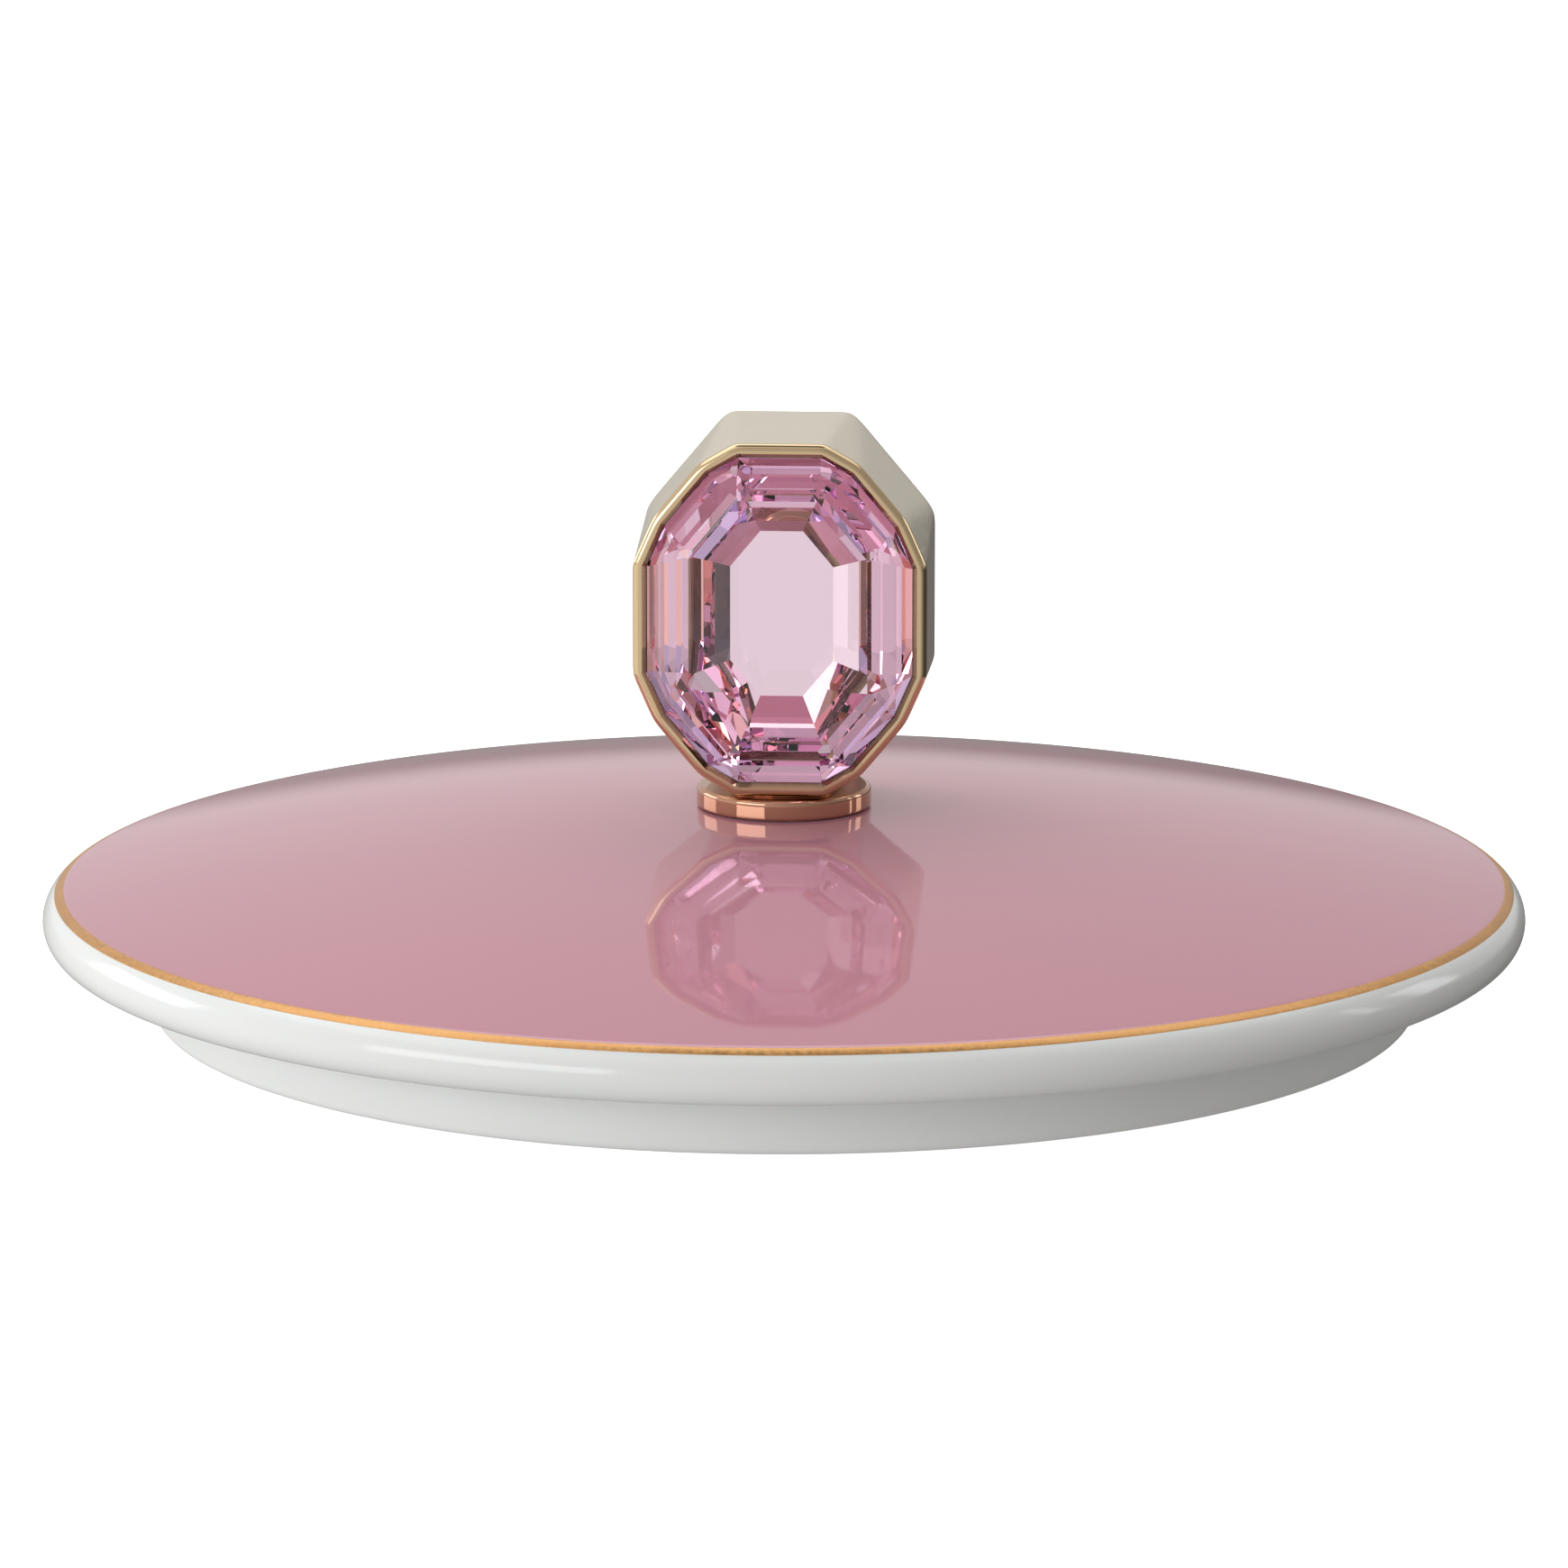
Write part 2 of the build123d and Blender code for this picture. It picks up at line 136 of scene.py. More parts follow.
class Finishes(PropertyGroup):
    """Colours of the fired and plated surfaces."""
    porcelain: colour_prop("Porcelain", "White body under clear glaze", (0.84, 0.85, 0.845))
    pink: colour_prop("Pink glaze", "Main tone of the dome", (0.565, 0.26, 0.325))
    gold_line: colour_prop("Gold line", "Fired gold at the edge of the pink", (0.62, 0.34, 0.13))
    casing: colour_prop("Casing", "Pale gold plating", (0.78, 0.72, 0.60))
    lip: colour_prop("Lip", "Deeper gold of the casing's lip", (0.68, 0.51, 0.31))
    collar: colour_prop("Collar", "Gold plating of the collar", (0.56, 0.30, 0.20))
    stone: colour_prop("Stone", "Tint of the glass", (0.99, 0.93, 0.965))
    foil: colour_prop("Foil", "Mirror behind the stone", (0.98, 0.81, 0.91))
    # The side foil's gold tinge is a painted reflection of the casing's gold, and the corner foil's violet is
    # a painted reflection.
    foil_side_painted_reflection: colour_prop("Foil, sides", "Mirror at the two sides, tinged with gold", (0.98, 0.68, 0.58))
    foil_corner_painted_reflection: colour_prop("Foil, corners", "Mirror behind the lower corners", (0.74, 0.66, 0.90))
    foil_culet: colour_prop("Foil, culet", "Mirror behind the flat at the very back", (0.99, 0.83, 0.93))
    steel: colour_prop("Plated steel", "Hardware under the lid", (0.78, 0.77, 0.75))
    silicone: colour_prop("Silicone", "Gasket and soft washer", (0.78, 0.78, 0.76))
    cement: colour_prop("Cement", "Clear cement round the stone", (0.75, 0.62, 0.60))


class StudioSettings(PropertyGroup):
    """Camera and light."""
    distance: length_prop("Distance", "From the camera to the point that it looks at", 0.7)
    elevation: FloatProperty(name="Elevation", description="Angle at which the camera looks down",
                             default=math.radians(12.04), subtype="ANGLE")
    azimuth: FloatProperty(name="Azimuth", description="Camera's turn towards +X", default=math.radians(3.3),
                           subtype="ANGLE")
    aim_height: length_prop("Aim height", "Height on the axis that the camera looks at", 0.0152)
    lens: FloatProperty(name="Lens", description="Focal length on a 36 mm sensor", default=238.4)


# ---------------------------------------------------------------------------
# Mesh helpers
# ---------------------------------------------------------------------------

def mesh_piece(name, points, faces, smooth_angle=None):
    """Object from arrays of points and faces, with edges sharper than the angle kept crisp."""
    mesh = bpy.data.meshes.new(name)
    mesh.from_pydata(points.tolist(), [], faces)
    mesh.validate()
    mesh.polygons.foreach_set("use_smooth", np.full(len(mesh.polygons), smooth_angle is not None))
    if smooth_angle is not None:
        mesh.set_sharp_from_angle(angle=math.radians(smooth_angle))
    mesh.update()
    piece = bpy.data.objects.new(name, mesh)
    bpy.context.scene.collection.objects.link(piece)
    return piece


def grid_faces(rows, columns, closed_rows):
    """Quads of a grid whose columns wrap round; rows wrap too when closed_rows is set."""
    last = rows if closed_rows else rows - 1
    r, c = np.meshgrid(np.arange(last), np.arange(columns), indexing="ij")
    below, right = (r + 1) % rows, (c + 1) % columns
    quads = np.stack([r * columns + c, r * columns + right, below * columns + right, below * columns + c], -1)
    return quads.reshape(-1, 4).tolist()


def lathe(name, profile, segments, smooth_angle=30):
    """Closed ring of revolution: x = r cos t, y = r sin t, z = z for each profile point (r, z).

    The profile is closed and runs clockwise round its section when seen with r to the right and z
    up, which turns the faces outwards."""
    profile = np.asarray(profile, float)
    turn = np.linspace(0, 2 * math.pi, segments, endpoint=False)
    radius, height = profile[:, :1], profile[:, 1:]
    points = np.stack([radius * np.cos(turn), radius * np.sin(turn), height + 0 * turn], -1).reshape(-1, 3)
    faces = grid_faces(len(profile), segments, True)
    return mesh_piece(name, points, faces, smooth_angle)


def arc(centre, radius, start, end, steps):
    """Points centre + radius (cos a, sin a), with a going evenly from start to end in degrees."""
    angle = np.radians(np.linspace(start, end, steps))
    return np.column_stack([centre[0] + radius * np.cos(angle), centre[1] + radius * np.sin(angle)])


def line(start, end, steps):
    """Evenly spaced points from start to end, without the two ends."""
    share = np.linspace(0, 1, steps + 2)[1:-1, None]
    return np.asarray(start) * (1 - share) + np.asarray(end) * share


def joined(*runs):
    """One profile from several runs of points, with repeated points dropped."""
    points = np.vstack([np.atleast_2d(run) for run in runs])
    gap = np.linalg.norm(np.diff(points, axis=0), axis=1)
    keep = np.concatenate([[True], gap > 1e-8])
    points = points[keep]
    if np.linalg.norm(points[0] - points[-1]) < 1e-8:
        points = points[:-1]
    return points


# ---------------------------------------------------------------------------
# Material helpers
# ---------------------------------------------------------------------------

class Graph:
    """A material's node tree, with short calls for the nodes that the finishes use."""

    def __init__(self, name):
        self.material = bpy.data.materials.new(name)
        self.material.use_nodes = True
        self.tree = self.material.node_tree
        self.shader = self.tree.nodes["Principled BSDF"]
        self.out = self.tree.nodes["Material Output"]

    def node(self, kind, values=None, **settings):
        made = self.tree.nodes.new(kind)
        for key, value in settings.items():
            setattr(made, key, value)
        for key, value in (values or {}).items():
            if isinstance(value, bpy.types.NodeSocket):
                self.tree.links.new(value, made.inputs[key])
            else:
                made.inputs[key].default_value = value
        return made

    def link(self, source, target):
        self.tree.links.new(source, target)

    def set(self, **values):
        for key, value in values.items():
            socket = self.shader.inputs[key.replace("_", " ")]
            if isinstance(value, bpy.types.NodeSocket):
                self.link(value, socket)
            else:
                socket.default_value = value

    def place(self):
        return self.node("ShaderNodeTexCoord").outputs["Object"]

    def noise(self, scale, detail=3.0, roughness=0.5, vector=None):
        return self.node("ShaderNodeTexNoise", {"Vector": vector or self.place(), "Scale": scale,
                                                "Detail": detail, "Roughness": roughness}).outputs["Fac"]

    def spread(self, value, low_in, high_in, low_out, high_out):
        made = self.node("ShaderNodeMapRange", {"Value": value, "From Min": low_in, "From Max": high_in,
                                                "To Min": low_out, "To Max": high_out})
        return made.outputs["Result"]

    def mix(self, factor, first, second):
        made = self.node("ShaderNodeMix", data_type="RGBA")
        for index, value in ((0, factor), (6, first), (7, second)):
            if isinstance(value, bpy.types.NodeSocket):
                self.link(value, made.inputs[index])
            elif index == 0:
                made.inputs[index].default_value = value
            else:
                made.inputs[index].default_value = (*value, 1)
        return made.outputs[2]

    def math(self, operation, first, second=0.0):
        made = self.node("ShaderNodeMath", operation=operation)
        for index, value in enumerate((first, second)):
            if isinstance(value, bpy.types.NodeSocket):
                self.link(value, made.inputs[index])
            else:
                made.inputs[index].default_value = value
        return made.outputs[0]

    def bump(self, height, strength, distance):
        made = self.node("ShaderNodeBump", {"Height": height, "Strength": strength, "Distance": distance})
        return made.outputs["Normal"]


def scaled(colour, factor):
    """A colour made darker or lighter."""
    return tuple(min(1.0, c * factor) for c in colour)


def porcelain_finish(colour, rim_underside):
    """White body under clear glaze: faint clouding, a barely rippled glaze, and a drier spigot."""
    g = Graph("porcelain")
    cloud = g.noise(60, 4)
    g.set(Base_Color=g.mix(g.spread(cloud, 0.3, 0.7, 0, 1), scaled(colour, 0.985), scaled(colour, 1.01)))
    height = g.node("ShaderNodeSeparateXYZ", {"Vector": g.place()}).outputs["Z"]
    dry = g.spread(height, rim_underside, rim_underside - 0.0006, 0, 1)
    glazed = g.spread(g.noise(900, 2), 0.3, 0.7, 0.10, 0.15)
    g.set(Roughness=g.math("ADD", g.math("MULTIPLY", dry, 0.32), glazed), IOR=1.52)
    g.set(Normal=g.bump(g.noise(220, 2), 0.06, 0.0004), Subsurface_Weight=0.12, Subsurface_Scale=0.0012)
    return g.material


def pink_glaze_finish(colour):
    """Coloured glaze under a clear glossy surface, with slow clouding and fine pinpoints of tone."""
    g = Graph("pink_glaze")
    slow = g.spread(g.noise(28, 3), 0.3, 0.7, 0, 1)
    fine = g.spread(g.noise(1400, 2), 0.35, 0.65, 0, 1)
    tone = g.mix(slow, scaled(colour, 0.985), scaled(colour, 1.015))
    g.set(Base_Color=g.mix(g.math("MULTIPLY", fine, 0.05), tone, scaled(colour, 0.90)))
    g.set(Roughness=g.spread(g.noise(500, 2), 0.3, 0.7, 0.035, 0.055))
    g.set(Normal=g.bump(g.noise(120, 1), 0.02, 0.0003), IOR=1.55)
    return g.material


def gold_line_finish(colour):
    """Fired gold: slightly grainy, warmer and redder where it is thin."""
    g = Graph("gold_lustre")
    grain = g.spread(g.noise(2600, 3), 0.35, 0.65, 0, 1)
    patch = g.spread(g.noise(260, 3), 0.35, 0.65, 0, 1)
    tone = g.mix(grain, scaled(colour, 0.86), scaled(colour, 1.12))
    redder = tuple(part * share for part, share in zip(colour, (0.9, 0.8, 0.8)))
    g.set(Base_Color=g.mix(g.math("MULTIPLY", patch, 0.35), tone, redder))
    g.set(Metallic=0.85, Roughness=g.spread(grain, 0, 1, 0.32, 0.46), Normal=g.bump(grain, 0.25, 0.00002))
    return g.material


def plated_finish(name, colour, roughness):
    """Polished plating: soft change of tone, hairline polishing marks and a few faint rubs."""
    g = Graph(name)
    cloud = g.spread(g.noise(90, 3), 0.3, 0.7, 0, 1)
    g.set(Base_Color=g.mix(cloud, scaled(colour, 0.97), scaled(colour, 1.02)), Metallic=1.0)
    stretched = g.node("ShaderNodeMapping", {"Vector": g.place(), "Scale": (300, 9000, 9000)}).outputs[0]
    hair = g.noise(1, 2, 0.5, stretched)
    rub = g.spread(g.noise(300, 4, 0.6), 0.4, 0.75, 0, 1)
    hairlines = g.spread(hair, 0.3, 0.7, roughness * 0.8, roughness * 1.2)
    marks = g.math("ADD", g.math("MULTIPLY", rub, roughness * 0.6), hairlines)
    g.set(Roughness=marks, Normal=g.bump(hair, 0.015, 0.00001))
    return g.material


def casing_finish(colour, lip_colour, front):
    """Satin pale plating on the barrel that gives way to a deeper, brighter polish on the lip.

    The bevel and the walls inside the mouth are darkened by painted shade, to 35 percent of the lip's colour
    where the attribute is 1."""
    g = Graph("pale_gold")
    parts = g.node("ShaderNodeSeparateXYZ", {"Vector": g.place()})
    barrel = g.spread(parts.outputs["Y"], front + 0.0004, front + 0.0007, 0, 1)
    cloud = g.spread(g.noise(90, 3), 0.3, 0.7, 0, 1)
    tone = g.mix(cloud, scaled(colour, 0.98), scaled(colour, 1.02))
    # Painted shade: where the attribute is 1, the lip colour is darkened to stand in for shadow inside the
    # mouth.
    painted_shade = g.node("ShaderNodeAttribute", attribute_name="painted_shade").outputs["Fac"]
    lip = g.mix(painted_shade, lip_colour, scaled(lip_colour, 0.35))
    outer_barrel = g.math("MULTIPLY", barrel, g.math("SUBTRACT", 1.0, painted_shade))
    g.set(Base_Color=g.mix(outer_barrel, lip, tone), Metallic=1.0)
    along = g.node("ShaderNodeMapping", {"Vector": g.place(), "Scale": (9000, 300, 9000)}).outputs[0]
    hair = g.noise(1, 2, 0.5, along)
    satin = g.spread(hair, 0.3, 0.7, 0.24, 0.32)
    g.set(Roughness=g.math("ADD", g.math("MULTIPLY", barrel, satin), 0.045))
    g.set(Normal=g.bump(hair, 0.01, 0.00001))
    return g.material


def stone_finish(colour):
    """Clear, faintly tinted crystal with a perfect polish."""
    g = Graph("stone")
    g.set(Base_Color=(*colour, 1), Roughness=0.0, IOR=1.55, Transmission_Weight=1.0)
    return g.material


def foil_finish():
    """Mirror on the back facets, in each facet's own tone, with a painted reflection of gold at the sides and
    of violet in the lower corners.
    """
    g = Graph("foil")
    g.set(Base_Color=g.node("ShaderNodeAttribute", attribute_name="foil_tone").outputs["Color"])
    g.set(Metallic=1.0, Roughness=0.0)
    return g.material


def soft_clear_finish(name, colour, roughness):
    """Milky clear plastic or cement, slightly uneven."""
    g = Graph(name)
    g.set(Base_Color=g.mix(g.noise(500, 3), scaled(colour, 0.92), colour))
    g.set(Roughness=g.spread(g.noise(1500, 2), 0.3, 0.7, roughness * 0.8, roughness * 1.2))
    g.set(Subsurface_Weight=0.2, Subsurface_Scale=0.0005)
    return g.material


def finished(piece, material, replaced):
    """Gives a piece its material and its body, and hides the CAD nodes that it replaces."""
    piece.data.materials.append(material)
    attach(piece, BODY)
    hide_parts(*replaced)


def repaint(node, material):
    """Puts a finish on a CAD node that keeps its own shape."""
    for material_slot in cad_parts[node].material_slots:
        material_slot.material = material


# ---------------------------------------------------------------------------
# The porcelain lid
# ---------------------------------------------------------------------------

def dome_geometry(size):
    """Centre height of the dome's sphere and the angle at which the bullnose takes over."""
    reach = size.dome_radius - size.bullnose
    across = size.lid_radius - size.bullnose
    centre = size.rim_height - math.sqrt(reach ** 2 - across ** 2)
    return centre, math.degrees(math.acos(across / reach))


def rim_angle(size, radius):
    """Angle on the bullnose at which it reaches the given radius, in degrees from level."""
    return math.degrees(math.acos((radius - size.lid_radius + size.bullnose) / size.bullnose))


class LID_OT_porcelain(Operator):
    """Fired white disc with its rounded rim, spigot ring, stud hole and ground seats"""
    bl_idname = "lid.porcelain"
    bl_label = "Porcelain"

    def execute(self, context):
        size = context.scene.lid_porcelain
        centre, edge = dome_geometry(size)
        nose = (size.lid_radius - size.bullnose, size.rim_height)
        under = size.rim_height - size.rim_under
        gold_in, gold_out = rim_angle(size, size.gold_inner), rim_angle(size, size.gold_outer)
        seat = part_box("collar_gasket")[0].z
        ceiling = size.dome_radius - size.plate
        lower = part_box("soft_washer")[1].z
        outer, root, foot = size.spigot_radius, size.spigot_root, size.spigot_edge
        inner = outer - size.spigot_wall
        fillet = size.hollow_fillet
        fillet_r = inner - fillet
        fillet_z = centre + math.sqrt((ceiling - fillet) ** 2 - fillet_r ** 2)
        touch = math.degrees(math.atan2(fillet_z - centre, fillet_r))
        top_in = size.dome_radius - size.glaze
        profile = joined(
            (size.stud_hole, seat), line((size.stud_hole, seat), (size.upper_seat, seat), 2),
            (size.upper_seat, seat),
            arc((0, centre), top_in, math.degrees(math.acos(size.upper_seat / top_in)), edge, 48),
            arc(nose, size.bullnose - size.glaze, edge, gold_in, 3),
            arc(nose, size.bullnose - size.gold_depth, gold_in, gold_out, 5),
            arc(nose, size.bullnose, gold_out, 0, 18),
            arc((size.lid_radius - size.rim_under, size.rim_height), size.rim_under, 0, -90, 20),
            line((size.lid_radius - size.rim_under, under), (outer + root, under), 4),
            arc((outer + root, under - root), root, 90, 180, 8),
            line((outer, under - root), (outer, foot), 4),
            arc((outer - foot, foot), foot, 0, -90, 12),
            line((outer - foot, 0), (inner + foot, 0), 3),
            arc((inner + foot, foot), foot, 270, 180, 12),
            line((inner, foot), (inner, fillet_z), 4),
            arc((fillet_r, fillet_z), fillet, 0, touch, 12),
            arc((0, centre), ceiling, touch, math.degrees(math.acos(size.lower_seat / ceiling)), 30),
            (size.lower_seat, lower), line((size.lower_seat, lower), (size.stud_hole, lower), 2),
            (size.stud_hole, lower), line((size.stud_hole, lower), (size.stud_hole, seat), 3),
        )
        piece = lathe("lid_porcelain", profile, size.segments)
        material = porcelain_finish(tuple(context.scene.lid_finishes.porcelain), under)
        finished(piece, material, replaced=("porcelain_lid",))
        return {"FINISHED"}


class LID_OT_pink_glaze(Operator):
    """Glossy pink field over the dome, from the knob's seat to the gold line"""
    bl_idname = "lid.pink_glaze"
    bl_label = "Pink glaze"

    def execute(self, context):
        size = context.scene.lid_porcelain
        centre, edge = dome_geometry(size)
        nose = (size.lid_radius - size.bullnose, size.rim_height)
        end = rim_angle(size, size.gold_inner)
        top, lower = size.dome_radius, size.dome_radius - size.glaze
        seat_top = math.degrees(math.acos(size.upper_seat / top))
        seat_low = math.degrees(math.acos(size.upper_seat / lower))
        profile = joined(
            arc((0, centre), top, seat_top, edge, 72),
            arc(nose, size.bullnose, edge, end, 4),
            arc(nose, size.bullnose - size.glaze, end, edge, 4),
            arc((0, centre), lower, edge, seat_low, 24),
        )
        piece = lathe("lid_pink_glaze", profile, size.segments)
        material = pink_glaze_finish(tuple(context.scene.lid_finishes.pink))
        finished(piece, material, replaced=("pink_glaze_field",))
        return {"FINISHED"}


class LID_OT_gold_line(Operator):
    """Thin fired gold line on the shoulder of the rim, rounded like a brush stroke"""
    bl_idname = "lid.gold_line"
    bl_label = "Gold line"

    def execute(self, context):
        size = context.scene.lid_porcelain
        nose = np.array((size.lid_radius - size.bullnose, size.rim_height))
        start, end = rim_angle(size, size.gold_inner), rim_angle(size, size.gold_outer)
        angle = np.radians(np.linspace(start, end, 13))
        share = np.linspace(-1, 1, 13)
        crown = size.bullnose + size.gold_proud * np.sqrt(np.clip(1 - share ** 4, 0, 1))
        over = nose + crown[:, None] * np.column_stack([np.cos(angle), np.sin(angle)])
        profile = joined(over, arc(nose, size.bullnose - size.gold_depth, end, start, 5))
        piece = lathe("lid_gold_line", profile, size.segments * 2)
        material = gold_line_finish(tuple(context.scene.lid_finishes.gold_line))
        finished(piece, material, replaced=("gold_line",))
        return {"FINISHED"}


# ---------------------------------------------------------------------------
# The knob
# ---------------------------------------------------------------------------

class LID_OT_collar(Operator):
    """Round polished foot of the knob, with softened edges and a raised land on top"""
    bl_idname = "lid.collar"
    bl_label = "Collar"

    def execute(self, context):
        size = context.scene.lid_knob
        low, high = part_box("knob_collar")
        radius, bottom = high.x, low.z
        land_top = high.z
        top = land_top - size.shadow_gap
        edge, foot = size.collar_edge, size.collar_foot
        profile = joined(
            (size.bore, land_top), line((size.bore, land_top), (size.collar_land, land_top), 2),
            (size.collar_land, land_top), (size.collar_land, top),
            line((size.collar_land, top), (radius - edge, top), 6),
            arc((radius - edge, top - edge), edge, 90, 0, 12),
            line((radius, top - edge), (radius, bottom + foot), 5),
            arc((radius - foot, bottom + foot), foot, 0, -90, 8),
            line((radius - foot, bottom), (size.bore, bottom), 4), (size.bore, bottom),
            line((size.bore, bottom), (size.bore, land_top), 3),
        )
        piece = lathe("knob_foot_collar", profile, 192)
        material = plated_finish("rose_gold", tuple(context.scene.lid_finishes.collar), 0.03)
        finished(piece, material, replaced=("knob_collar",))
        return {"FINISHED"}


# The stone's facets as (direction in degrees from +X, distance from the centre, spread of the steps).
MAIN_FACETS = ((0.0, 0.00886, 1.0), (39.9, 0.00996, 0.86), (90.0, 0.011, 0.88))
CORNER_FACETS = ((23.7, 0.00956, 0.77), (60.1, 0.01091, 0.76))
BACK_SPREAD = 1.2           # the back steps close in faster from the top, bottom and corners
BACK_SPREAD_LIMIT = 1.06
LAP = 0.0001                # short step beside an edge, which keeps it crisp under smooth shading
HAIR = 0.000005             # narrowest step, between the painted shade at the crest and the lip's own colour


def facet_table(facets):
    """Array of direction in radians, distance and spread for a facet group, in all four quadrants."""
    full = {(round(turn % 360, 3), distance, spread) for angle, distance, spread in facets
            for turn in (angle, 180 - angle, 180 + angle, 360 - angle)}
    table = np.array(sorted(full))
    table[:, 0] = np.radians(table[:, 0])
    return table


def outline(turn, direction, distance, softness=None):
    """Distance from the centre to a many-sided outline, for each angle of turn.

    A side at distance d and direction a is met at d / cos(turn - a), and the nearest side counts.
    With a softness p the nearest is the p-norm of cos(turn - a) / d, inverted, which rounds the corners."""
    share = np.clip(np.cos(turn[:, None] - direction), 0, None) / distance
    if softness is None:
        return 1 / share.max(1)
    top = share.max(1, keepdims=True)
    return 1 / (top[:, 0] * ((share / top) ** softness).sum(1) ** (1 / softness))


def corner_turns(facets):
    """Angles of an outline's corners: where each side's line crosses the next one's."""
    angle, reach = facets[:, 0], facets[:, 1]
    after, reach_after = np.roll(angle, -1), np.roll(reach, -1)
    span = np.sin(after - angle)
    x = (reach * np.sin(after) - reach_after * np.sin(angle)) / span
    z = (reach_after * np.cos(angle) - reach * np.cos(after)) / span
    return np.arctan2(z, x) % (2 * math.pi)


def knob_turns():
    """Even steps round the knob plus the stone's corners."""
    even = np.linspace(0, 2 * math.pi, 480, endpoint=False)
    sharp = corner_turns(facet_table(MAIN_FACETS + CORNER_FACETS))
    near = np.abs((even[:, None] - sharp + math.pi) % (2 * math.pi) - math.pi).min(1)
    return np.sort(np.concatenate([even[near > 0.004], sharp]))


def knob_rings(name, rings, turn, height, smooth_angle):
    """Closed shell from rings of (distances, y, painted shade) round the knob's axis, with a fan at each end.

    A point is x = d cos t, z = height + d sin t at the ring's y. Its painted shade, from 0 to 1, is kept as
    an attribute that the finish reads to darken the surface there."""
    columns = len(turn)
    distance = np.array([ring[0] * np.ones(columns) for ring in rings])
    depth = np.array([ring[1] for ring in rings])[:, None]
    points = np.stack([distance * np.cos(turn), depth + 0 * turn, height + distance * np.sin(turn)], -1)
    faces = grid_faces(len(rings), columns, False)
    points = points.reshape(-1, 3)
    ends = len(points)
    points = np.vstack([points, [0, rings[0][1], height], [0, rings[-1][1], height]])
    column = np.arange(columns)
    following = (column + 1) % columns
    start = (len(rings) - 1) * columns
    faces += np.stack([np.full(columns, ends), following, column], -1).tolist()
    faces += np.stack([np.full(columns, ends + 1), start + column, start + following], -1).tolist()
    piece = mesh_piece(name, points, faces, smooth_angle)
    painted_shade = np.concatenate([np.repeat([ring[2] for ring in rings], columns), [rings[0][2], rings[-1][2]]])
    piece.data.attributes.new("painted_shade", "FLOAT", "POINT").data.foreach_set("value", painted_shade)
    return piece


class LID_OT_casing(Operator):
    """Barrel, eight-sided behind and sixteen-sided in front, with a rounded lip and a closed back"""
    bl_idname = "lid.casing"
    bl_label = "Casing"

    def execute(self, context):
        size = context.scene.lid_knob
        low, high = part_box("knob_casing")
        front, back, height = low.y, high.y, (low.z + high.z) / 2
        turn = knob_turns()
        main, corner = facet_table(MAIN_FACETS), facet_table(CORNER_FACETS)
        stone = facet_table(MAIN_FACETS + CORNER_FACETS)
        main_reach = np.minimum(main[:, 1] + size.wall, (high.z - low.z) / 2)
        direction = np.concatenate([main[:, 0], corner[:, 0]])

        def outside(y, inset=0.0):
            share = (y - front) / (back - front)
            wall = size.corner_wall_front * (1 - share) + size.corner_wall_back * share
            reach = np.concatenate([main_reach, corner[:, 1] + wall])
            return outline(turn, direction, reach - inset, size.softness)

        def mouth(grow):
            return outline(turn, stone[:, 0], stone[:, 1] + grow)

        floor_y = back - size.back_wall
        ledge = front + size.ledge_depth
        cavity = mouth(-size.ledge_inset)
        fit = mouth(size.stone_gap)
        crest = mouth(size.stone_gap + size.mouth_bevel)
        rings = [(cavity * share, floor_y) for share in (0.02, 0.5, 0.98, 1.0)]
        rings += [(cavity, floor_y - 5 * LAP), (cavity, ledge + LAP), (cavity, ledge), (fit, ledge)]
        bevel = front + size.mouth_bevel
        rings += [(fit, ledge - LAP), (fit, bevel + LAP), (fit, bevel)]
        # Inside the mouth the rings carry full painted shade, the crest half of it, and the lip and barrel
        # none.
        rings = [(*ring, 1.0) for ring in rings] + [(crest, front, 0.5), (crest + HAIR, front, 0.0)]
        for angle in np.radians(np.linspace(0, 90, 17)):
            inset = size.front_lip * (1 - math.sin(angle))
            y = front + size.front_lip * (1 - math.cos(angle))
            rings.append((np.maximum(outside(y, inset), crest + 4 * HAIR), y, 0.0))
        for y in np.linspace(front + size.front_lip, back - size.back_edge, 8)[1:-1]:
            rings.append((outside(y), y, 0.0))
        for angle in np.radians(np.linspace(0, 90, 11)):
            y = back - size.back_edge * (1 - math.sin(angle))
            rings.append((outside(y, size.back_edge * (1 - math.cos(angle))), y, 0.0))
        rings += [(outside(back, size.back_edge) * share, back, 0.0) for share in (0.98, 0.6, 0.02)]
        rings.reverse()
        piece = knob_rings("knob_barrel_casing", rings, turn, height, 28)
        colours = context.scene.lid_finishes
        material = casing_finish(tuple(colours.casing), tuple(colours.lip), front)
        finished(piece, material, replaced=("knob_casing",))
        return {"FINISHED"}


def stepped_planes(facets, insets, depths, start, toward):
    """Half-spaces of a stack of steps: unit normals that point out, and their distances.

    Each facet runs, square to its direction, from (distance - inset, y) to the next such pair."""
    direction, distance, spread = facets[:, :1], facets[:, 1:2], facets[:, 2:]
    inset = np.concatenate([[0.0], insets])
    reach = distance - inset * spread
    level = start + toward * np.concatenate([[0.0], depths]) + 0 * reach
    rise, run = np.diff(level), -np.diff(reach)
    length = np.hypot(rise, run)
    across, along = np.abs(rise) / length, toward * run / length
    normals = np.stack([across * np.cos(direction), along, across * np.sin(direction)], -1).reshape(-1, 3)
    return normals, (across * reach[:, :-1] + along * level[:, :-1]).reshape(-1)


